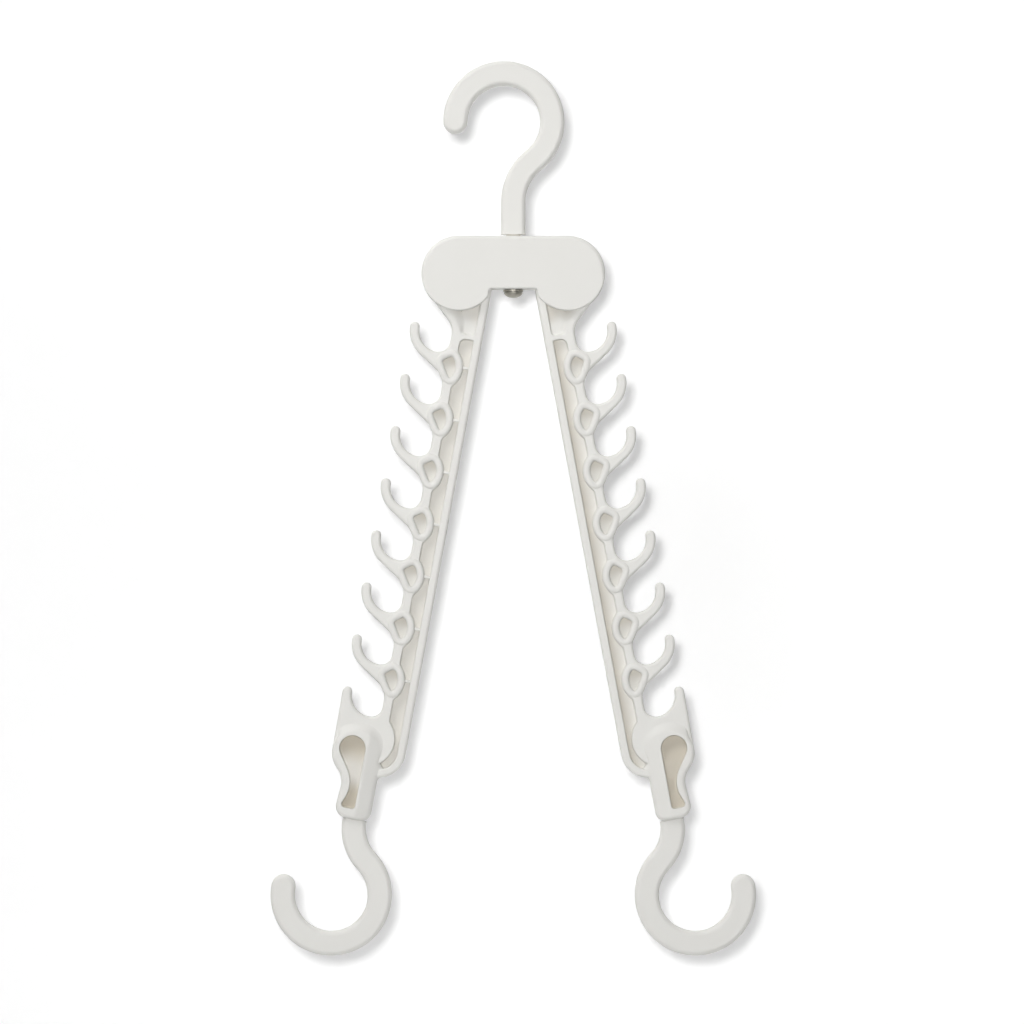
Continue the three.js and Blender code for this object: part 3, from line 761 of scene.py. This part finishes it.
def edgeShare(x, z):  # hardly any rounding where the housing hides the edge
    hidden = any(left < x < right and z < top for left, right, top in arm.hiddenBoxes)
    return arm.hiddenShare if hidden else 1


# painted shade: the head's covers shade the top of the recess
def recessTint(side):  # darker where the head's covers come close
    return lambda x, z: arm.recessTint[side] * ramp(z, *arm.recessShade) + arm.recessLeast


# painted shade: the straight rim shades the channel beside it
def plainTint(x, z):  # the channel without ribs: darkest along the straight rim
    most, least = arm.plainTint
    return most * (1 - ramp(x, -rimInner, arm.plainShade)) + least


# painted shade: each pocket's roof shades what lies under it
def pocketTint(index):  # darkest under the pocket's roof
    most, least = arm.pocketTint
    rise, reach = arm.pocketShade
    top = hookRings(index).loop[1] + rise
    return lambda x, z: most * (1 - ramp(z, top, reach)) + least


def openShare(x, z):  # where the recess runs out in a slope
    foot = arm.footShare + (1 - arm.footShare) * ramp(z, *arm.recessFoot)
    return ramp(x, *arm.recessOpen) * foot


half = arm.half
cellDepth = half - arm.webHalf
armLoop = evenLoop(armOutline(), arm.step, 1)
channelLoop = evenLoop(channelOutline(), arm.step, 2)
recessLoop = evenLoop(recessOutline(), arm.step, 8)
openSide = [openShare(*p) for p in recessLoop]
share = eased([edgeShare(*p) for p in armLoop], 4)
armBody = Moulding()
outerEdge = armBody.rim(armLoop, half, (arm.edgeRound, arm.edgeRound), share=share)
facing = {side: [ring] for side, ring in zip((-1, 1), outerEdge)}
for loop in (evenLoop(arc((0, 0, arm.bore), 0, 360), arm.step, 0), evenLoop(slotOutline(), arm.step, 1)):
    for side, ring in zip((-1, 1), armBody.hole(loop, half)):
        facing[side].append(ring)
for side in (-1, 1):
    # the channel floors and the pockets get painted shade in their colour
    sunk = [(channelLoop, cellDepth, arm.cellTint if side > 0 else plainTint),
            (recessLoop, arm.recessDepth, recessTint(side), openSide, arm.recessSlope)]
    for i in range(arm.hookCount - 1):
        sunk.append((evenLoop(pocketOutline(i), arm.pocketStep, 1), cellDepth, pocketTint(i)))
    for loop, depth, *look in sunk:
        facing[side].append(armBody.pocket(loop, side, half, depth, arm.lip, arm.fillet, *look))
    armBody.cap(*facing[side])
print("arm plate done")


# Housing of the end hook: a rounded shell over the arm's lower end, with a keyhole in each face

housingSizes = dict(
    half=7.5, top=(6.5, -245.5, 12.5), end=278.5, waistDrop=262.5, waistOffset=11.4,
    footRadius=6, footOffset=12.15, strapOffset=-6, strapCorner=4.2, facetStart=1.6, facetSlope=0.33,
    edgeRound=2, edgeSteps=7, wallSteps=5, step=0.55, grid=0.9,
    blendIn=1.8, blendOut=3.2, blendSink=0.04,
    keyholeTop=(9, -243.5, 6.5), keyholeRim=4.4, keyholeLip=5.3, keyholeFoot=9.4, keyholeFootRound=1.7,
    keyholeCorner=1.2, keyholeStep=0.45, keyholeEdge=(0.5, 0.7),
    keyholeDepth=(1.8, 2.7, 1.6), deepTop=(-253, 13), deepFoot=(-257, -9),
    # the keyhole levels are painted shade, darkest at the top and foot; the other face's is even
    keyholeTint=(0.92, 0.32), darkTop=(-254, 12), darkFoot=(-257.5, -9), plainKeyholeTint=0.87,
)
shell = Named(**housingSizes)
waistIn = shell.waistOffset - shell.top[0]
waistFall = shell.waistDrop + shell.top[1]
waistRadius = (waistIn ** 2 + waistFall ** 2 - shell.top[2] ** 2) / (2 * (shell.top[2] - waistIn))
waist = (shell.waistOffset + waistRadius, -shell.waistDrop, waistRadius)


def bottleOutline(top, turn, side, right, low, footRound, left, corner):  # round top, drawn-in side
    foot = (right - footRound, low + footRound, footRound)
    run = crossing(foot, side, -1)
    return (arc(top, 180, turn) + arc(side, turn + 180, run + 180) + arc(foot, run, -90)
            + arc((left + corner, low + corner, corner), 270, 180))


def housingOutline():
    return bottleOutline(shell.top, angleTo(shell.top, waist), waist, shell.footOffset, -shell.end,
                         shell.footRadius, shell.strapOffset, shell.strapCorner)


def keyholeOutline():
    top, side = shell.keyholeTop, grow(waist, shell.keyholeRim)
    return bottleOutline(top, crossing(top, side, 1), side, shell.keyholeFoot, shell.keyholeLip - shell.end,
                         shell.keyholeFootRound, top[0] - top[2], shell.keyholeCorner)


def strapHeight(x):  # half thickness of the housing, less where the strap slopes off
    past = max(0, shell.facetStart - x + 0.5)
    return shell.half - shell.facetSlope * (past ** 2 / 2 if past < 1 else past - 0.5)


def keyholeDepth(x, z):  # deep under the round top, shallow over the neck, deeper at the foot
    shallow, top, foot = shell.keyholeDepth
    return shallow + top * ramp(z, *shell.deepTop) + foot * ramp(z, *shell.deepFoot)


# painted shade, darkest under the round top and at the foot, where the keyhole is deep
def keyholeTint(x, z):
    most, least = shell.keyholeTint
    return least + (most - least) * max(ramp(z, *shell.darkTop), ramp(z, *shell.darkFoot))


def addHousing(body):
    loop = evenLoop(housingOutline(), shell.step, 3)
    keyhole = evenLoop(keyholeOutline(), shell.keyholeStep, 2)
    widest = shell.top[0] + shell.top[2]
    skirt = widened(loop, shell.blendOut)
    onPlate = [float(insideLoop(*p, armLoop) and not insideLoop(*p, channelLoop)) for p in skirt]
    weights = eased(onPlate, 12)  # how much of each column blends into the plate
    steps, walls = shell.edgeSteps, shell.wallSteps
    last = steps + walls
    low = arm.half - shell.blendSink

    def column(k, weight):  # how far out, and how much lower than the face
        turn = math.pi / 2 * min(1, k / steps)
        part = min(1, k / (last - 1))
        free = (shell.edgeRound * (math.sin(turn) - 1), shell.edgeRound * (1 - math.cos(turn)))
        joined = (-shell.blendIn + (shell.blendIn + shell.blendOut) * part, 0)
        return [f + (j - f) * weight for f, j in zip(free, joined)], smooth(part) * weight

    def blendRing(side, k):
        ring = []
        for p, n, weight in sided(loop, weights):
            (out, drop), sink = column(k, weight)
            x, z = min(widest, p[0] + n[0] * out), p[1] + n[1] * out
            y = strapHeight(x) - drop
            y += (low - y) * sink
            if k > steps:
                y *= 1 - (1 - weight) * (k - steps) / walls
            ring.append(body.point(x, side * y if k < last else 0, z))
        return ring
    seam = None
    for side in (-1, 1):
        rings = [blendRing(side, k) for k in range(last)]
        seam = seam or blendRing(side, last)
        body.skin(rings + [seam])
        lip = body.pocket(keyhole, side, shell.half, keyholeDepth, *shell.keyholeEdge,
                          keyholeTint if side > 0 else shell.plainKeyholeTint)
        body.sheet(rings[0], [lip], lambda x, z: side * strapHeight(x), shell.grid)


addHousing(armBody)


# Thin ribs across the channel, on one face of the moulding

def ribTree():
    tree, size = startTree("ribRow", {"Count": 7, "Pitch": 0.0266, "Length": 0.008,
                                      "Height": 0.003, "Thickness": 0.0009, "Edge Round": 0.0003})
    profile = put(tree, "GeometryNodeCurvePrimitiveQuadrilateral",
                  {"Width": size["Height"], "Height": size["Thickness"]})
    soft = put(tree, "GeometryNodeFilletCurve",
               {"Curve": profile, "Count": 3, "Radius": size["Edge Round"]}, mode="POLY")
    line = put(tree, "GeometryNodeCurvePrimitiveLine", {"End": xyz(tree, size["Length"])})
    rib = put(tree, "GeometryNodeCurveToMesh", {"Curve": line, "Profile Curve": soft, "Fill Caps": True})
    return endRow(tree, size, rib, xyz(tree, z=calc(tree, "MULTIPLY", size["Pitch"], -1.0)))


# A rounded bead round each pocket, proud of the face

def beadTree():
    tree, size = startTree("beadRow", {"Count": 7, "Pitch": 0.0266, "Half Width": 0.0021,
                                       "Half Height": 0.0012, "Sides": 20})
    ring = put(tree, "GeometryNodeCurvePrimitiveCircle", {"Resolution": size["Sides"], "Radius": 1.0})
    wide = xyz(tree, size["Half Width"], size["Half Height"], 1.0)
    oval = put(tree, "GeometryNodeTransform", {"Geometry": ring, "Scale": wide})
    bead = swept(tree, size["Geometry"], oval)
    return endRow(tree, size, bead, xyz(tree, y=calc(tree, "MULTIPLY", size["Pitch"], -1.0)))


rowSizes = {"Count": arm.hookCount - 1, "Pitch": arm.hookPitch * mm}
firstPocket = evenLoop(pocketOutline(0), arm.step, 3)
beadPath = evenLoop(widened(firstPocket, arm.loopWidth / 2), arm.beadStep, 3)
beadWide, beadHigh = arm.beadSize
beadRow = beadTree()
for side in (-1, 1):
    beads = grown(beadRow, outlineCurve("beadPath", beadPath, True), armPlastic, **rowSizes,
                  **{"Half Width": beadWide * mm, "Half Height": beadHigh * mm})
    beads.transform(shift(0, side * (half + arm.beadRise - beadHigh), 0) @ stand)
    armBody.add(beads)

ribTop = half - arm.ribInset
ribStart = -rimInner - arm.rimWidth / 2
ribEnd = arm.loopOffset - arm.loopRadius + arm.loopWidth / 2
ribs = grown(ribTree(), added("ribs", bpy.data.meshes.new("ribs")), armPlastic, **rowSizes,
             Length=(ribEnd - ribStart) * mm, Height=ribTop * mm, Thickness=arm.ribThickness * mm)
ribs.transform(shift(ribStart, ribTop / 2, hookRings(0).loop[1] + arm.ribLift))
armBody.add(ribs)
for side, mesh in zip(armPlaces, armBody.meshes("arm", *armPlaces.values())):
    showPiece(side + "_arm_moulding", mesh, armPlastic, "arm_plastic", side + "_arm")
print("arms done")


# Head: two covers, a block between them, two posts for the arms

headSizes = dict(
    lobeRadius=18.75, halfSpacing=27.25, middleDrop=7.75, notchAngle=37, notchFillet=1.5,
    inside=5.4, outside=8.6, gap=0.3, step=0.7,
    edgeRound=2.2, edgeSteps=9, lowEdge=0.4, lowFade=(-6, 8), innerRound=0.3,
    blockHole=18.6, blockAngle=29, blockInset=0.02, blockStep=0.5,
    screwWell=3.1, screwSeat=6.4, wellEdge=(0.35, 0.2), wellStep=0.4,
    post=4.5, peg=2, pegDistance=12, pegAngle=130,
)
head = Named(**headSizes)


def coverOutline():
    x, lobe, turn, fillet = head.halfSpacing, head.lobeRadius, head.notchAngle, head.notchFillet
    notch = x - lobe * math.cos(math.radians(turn))
    low = -head.middleDrop - fillet
    return (arc((x, 0, lobe), 90, turn - 180) + arc((notch - fillet, low, fillet), 0, 90)
            + arc((fillet - notch, low, fillet), 90, 180) + arc((-x, 0, lobe), -turn, -270))


def blockOutline():
    x, hole, turn = head.halfSpacing, head.blockHole, head.blockAngle
    side, top = x - hole * math.cos(math.radians(turn)), head.lobeRadius - head.blockInset
    lower = math.degrees(math.asin(head.middleDrop / hole))
    return ([(-side, top), (side, top)] + arc((x, 0, hole), 180 - turn, 180 + lower)
            + arc((-x, 0, hole), -lower, turn))


def pinMesh(radius, front, back, x, z):
    profile = [(0, 0), (radius, 0), (radius, back - front), (0, back - front)]
    mesh = turned(rounded(profile, head.innerRound), headPlastic)
    mesh.transform(shift(x, back, z) @ stand)
    return mesh


def coverPlate(side):
    plate = Moulding()
    loop = evenLoop(coverOutline(), head.step, 1)
    rounds = (head.edgeRound, head.innerRound)[::-side]
    share = [head.lowEdge + (1 - head.lowEdge) * ramp(z, *head.lowFade) for x, z in loop]
    return plate, plate.rim(loop, (head.outside - head.inside) / 2, rounds, head.edgeSteps, share)


middle = (head.inside + head.outside) / 2
frontCover, rings = coverPlate(-1)
for ring in rings:
    frontCover.cap(ring)
frontCover.slide(-middle)
for side in (-1, 1):
    frontCover.add(pinMesh(head.post, -middle, head.inside - head.gap, side * head.halfSpacing, 0))
frontMesh, = frontCover.meshes("frontCover", headPlace)
showPiece("head_front_moulding", frontMesh, headPlastic, "head_plastic", "head", "head_front_cover")

rearCover, rings = coverPlate(1)
wells = []
for side in (-1, 1):
    well = evenLoop(arc((side * head.halfSpacing, 0, head.screwWell), 0, 360), head.wellStep, 0)
    # each screw well gets full painted shade, the pocket's default level
    wells.append(rearCover.pocket(well, 1, head.outside - middle, head.outside - head.screwSeat,
                                  *head.wellEdge))
rearCover.cap(rings[0])
rearCover.cap(rings[1], *wells)
rearCover.slide(middle)
block = Moulding()
blockHalf = (middle + head.inside - head.gap) / 2
blockLoop = evenLoop(blockOutline(), head.blockStep, 1)
for ring in block.rim(blockLoop, blockHalf, (head.innerRound, head.innerRound)):
    block.cap(ring)
blockMesh, = block.meshes("block", shift(0, middle - blockHalf, 0))
rearCover.add(blockMesh)
for side in (-1, 1):
    turn = 90 - side * (90 - head.pegAngle)
    x, z = onRing((side * head.halfSpacing, 0, head.pegDistance), turn)
    rearCover.add(pinMesh(head.peg, head.gap - head.inside, middle, x, z))
rearMesh, = rearCover.meshes("rearCover", headPlace)
showPiece("head_rear_moulding", rearMesh, headPlastic, "head_plastic", "head", "head_rear_cover")
print("head done")


# Steel: two screws with a cross recess, the swivel's rivet and its washer

screwSizes = dict(
    radius=1.3, length=10, tip=0.5, taper=2.6, threads=9, threadDepth=0.3, threadShape=(0.35, 0.5, 0.85),
    head=2.8, headSide=0.9, headTop=2, headHeight=1.9, easing=0.35,
    driveWidth=0.8, driveLength=3.2, driveDepth=1.1, driveTaper=0.7, driveAbove=0.5,
    sides=40, sharp=35,
)
rivetSizes = dict(head=4.7, height=2.8, under=-9.25, shank=2, shankTop=6, domeSteps=14, sides=64, sharp=50)
washerSizes = dict(inner=2.3, outer=5, low=-8.95, high=-8.05, sides=64, sharp=35)
screw = Named(**screwSizes)
rivet = Named(**rivetSizes)
washer = Named(**washerSizes)


def screwMesh():
    shank = screw.length - screw.taper
    pitch = shank / screw.threads
    crest, root = screw.radius, screw.radius - screw.threadDepth
    rise, crestEnd, fall = (share * pitch for share in screw.threadShape)
    profile = [(0, -screw.length), (screw.tip, -screw.length)]
    for i in range(screw.threads):
        z = -shank + i * pitch
        profile += [(root, z), (crest, z + rise), (crest, z + crestEnd), (root, z + fall)]
    profile += [(crest, 0), (screw.head, 0), (screw.head, screw.headSide),
                (screw.headTop, screw.headHeight), (0, screw.headHeight)]
    return turned(rounded(profile, screw.easing), screwSteel, screw.sides)


def crossCutter():
    wide, long = screw.driveWidth / 2, screw.driveLength / 2
    quarter, corners = [(long, -wide), (long, wide), (wide, wide)], []
    for _ in range(4):
        corners += quarter
        quarter = [(-z, x) for x, z in quarter]
    top = screw.headHeight
    ends = ((screw.driveTaper, top - screw.driveDepth), (1, top + screw.driveAbove))
    cutter = bmesh.new()
    rings = [[cutter.verts.new((x * scale * mm, z * scale * mm, height * mm)) for x, z in corners]
             for scale, height in ends]
    cutter.faces.new(rings[0][::-1])
    cutter.faces.new(rings[1])
    for i in range(len(corners)):
        cutter.faces.new((rings[0][i - 1], rings[0][i], rings[1][i], rings[1][i - 1]))
    mesh = bpy.data.meshes.new("crossCutter")
    cutter.to_mesh(mesh)
    cutter.free()
    return mesh


def cutAway(mesh, cutterMesh):
    body = added("body", mesh)
    cutter = added("cutter", cutterMesh)
    cut = body.modifiers.new("cut", "BOOLEAN")
    cut.operation, cut.solver, cut.object = "DIFFERENCE", "EXACT", cutter
    done = settled(body)
    bpy.data.objects.remove(cutter)

    def clean(work):
        bmesh.ops.triangulate(work, faces=work.faces)
        bmesh.ops.remove_doubles(work, verts=work.verts, dist=2e-6)
    return reworked(done, clean)


def steelPiece(mesh, place, sharp, name, *labels):
    mesh.transform(place)
    for face in mesh.polygons:
        face.use_smooth = True
    mesh.set_sharp_from_angle(angle=math.radians(sharp))
    showPiece(name, mesh, *labels)


lieBack = Matrix.Rotation(-math.pi / 2, 4, "X")
for side, name in ((-1, "left"), (1, "right")):
    seat = shift(side * head.halfSpacing, head.screwSeat, 0)
    steelPiece(cutAway(screwMesh(), crossCutter()), headPlace @ seat @ lieBack, screw.sharp,
               name + "_screw_turned", screwSteel, "screw_steel", "head", name + "_pivot_screw")

rivetProfile = [(0, rivet.under - rivet.height)]
for k in range(1, rivet.domeSteps + 1):
    turn = math.pi / 2 * k / rivet.domeSteps
    rivetProfile.append((rivet.head * math.sin(turn), rivet.under - rivet.height * math.cos(turn)))
rivetProfile += [(rivet.shank, rivet.under), (rivet.shank, rivet.shankTop), (0, rivet.shankTop)]
steelPiece(turned(rivetProfile, rivetSteel, rivet.sides), headPlace, rivet.sharp,
           "swivel_rivet_turned", rivetSteel, "bright_steel", "top_hook", "swivel_rivet")
washerProfile = [(washer.inner, washer.low), (washer.outer, washer.low),
                 (washer.outer, washer.high), (washer.inner, washer.high)]
steelPiece(turned(washerProfile, rivetSteel, washer.sides, True), headPlace, washer.sharp,
           "swivel_washer_stamped", rivetSteel, "bright_steel", "top_hook", "swivel_washer")
print("steel done")


# Camera, light and backdrop, in metres

viewSizes = dict(centre=Vector((4.1, 0, -213.9)) * mm, width=0.514, distance=2.2, sensor=36)
view = Named(**viewSizes)
camera = added("camera", bpy.data.cameras.new("camera"))
camera.data.sensor_width = view.sensor
camera.data.lens = view.sensor * view.distance / view.width
camera.location = view.centre + Vector((0, -view.distance, 0))
camera.rotation_euler = (math.pi / 2, 0, 0)
scene.camera = camera
scene.view_settings.view_transform = "Standard"

lightSizes = dict(
    flash=dict(offset=(-0.055, 0, 0.072), size=0.1, watts=6.8, aim=0.12, spread=95),
    key=dict(offset=(-0.8, 1.3, 1.33), size=1.1, watts=15, aim=0, spread=180),
)
studioSizes = dict(
    wallY=0.14, wallHalf=2, wallGlow=(0.125, 0.335), dimSide=(0.7, 0, -0.45), dimReach=(-0.19, 0.39),
    hotSpot=(-0.015, 0.14, -0.19), hotReach=0.36, hotGlow=0.1,
    floorY=-0.3, floorZ=-1.0, floorHalf=0.6, matt=(0.95, 0.95, 0.95, 1), white=(1, 1, 1, 1),
    ambient=0.05, slope=0.2, brightSide=(-0.25, -0.2, 0.94),
)
studio = Named(**studioSizes)

for name, light in lightSizes.items():
    lamp = bpy.data.lights.new(name, "AREA")
    lamp.shape, lamp.size, lamp.energy = "DISK", light["size"], light["watts"]
    lamp.spread = math.radians(light["spread"])
    holder = added(name, lamp)
    holder.location = camera.location + Vector(light["offset"])
    target = view.centre + Vector((0, 0, light["aim"]))
    holder.rotation_euler = (target - holder.location).to_track_quat("-Z", "Y").to_euler()


def towards(tree, place, side, operation="DOT_PRODUCT"):
    return put(tree, "ShaderNodeVectorMath", {0: place, 1: side}, "Value", operation=operation)


def paleSheet(name, spot, half, turn, glow=None):
    mesh = bpy.data.meshes.new(name)
    corners = [(-half, -half, 0), (half, -half, 0), (half, half, 0), (-half, half, 0)]
    mesh.from_pydata(corners, [], [(0, 1, 2, 3)])
    mesh.transform(Matrix.Translation(spot) @ turn)
    material, tree, place = newMaterial(name)
    tree.nodes.remove(tree.nodes["Principled BSDF"])
    pale = put(tree, "ShaderNodeBsdfDiffuse", {"Color": studio.matt})
    if glow:  # evens out the lamps' fall-off, and is clear when seen from behind
        start, stop = studio.dimReach
        across = towards(tree, place, studio.dimSide)
        sloped = ranged(tree, across, *glow, **{"From Min": start, "From Max": stop})
        away = towards(tree, place, studio.hotSpot, "DISTANCE")
        hot = ranged(tree, away, studio.hotGlow, 0.0, **{"From Max": studio.hotReach})
        hot.node.interpolation_type = "SMOOTHSTEP"
        amount = calc(tree, "SUBTRACT", sloped, hot)
        shine = put(tree, "ShaderNodeEmission", {"Color": studio.white, "Strength": amount})
        lit = put(tree, "ShaderNodeAddShader", {0: pale, 1: shine})
        behind = put(tree, "ShaderNodeNewGeometry", out="Backfacing")
        clear = put(tree, "ShaderNodeBsdfTransparent")
        pale = put(tree, "ShaderNodeMixShader", {0: behind, 1: lit, 2: clear})
    wire(tree, tree.nodes["Material Output"], {"Surface": pale})
    mesh.materials.append(material)
    added(name, mesh)


wallSpot = Vector((0, studio.wallY, view.centre.z))
floorSpot = Vector((view.centre.x, studio.floorY, studio.floorZ))
paleSheet("backdrop", wallSpot, studio.wallHalf, stand, studio.wallGlow)
paleSheet("floor", floorSpot, studio.floorHalf, Matrix())

world = bpy.data.worlds.new("studio")
scene.world = world
world.use_nodes = True
tree = world.node_tree
seen = put(tree, "ShaderNodeLightPath", out="Is Camera Ray")
toward = towards(tree, put(tree, "ShaderNodeTexCoord", out="Generated"), studio.brightSide)
soft = calc(tree, "MULTIPLY_ADD", toward, studio.slope, studio.ambient)
soft.node.use_clamp = True
strength = ranged(tree, seen, soft, 1.0)
wire(tree, tree.nodes["Background"], {"Strength": strength, "Color": studio.white})
print("studio done")
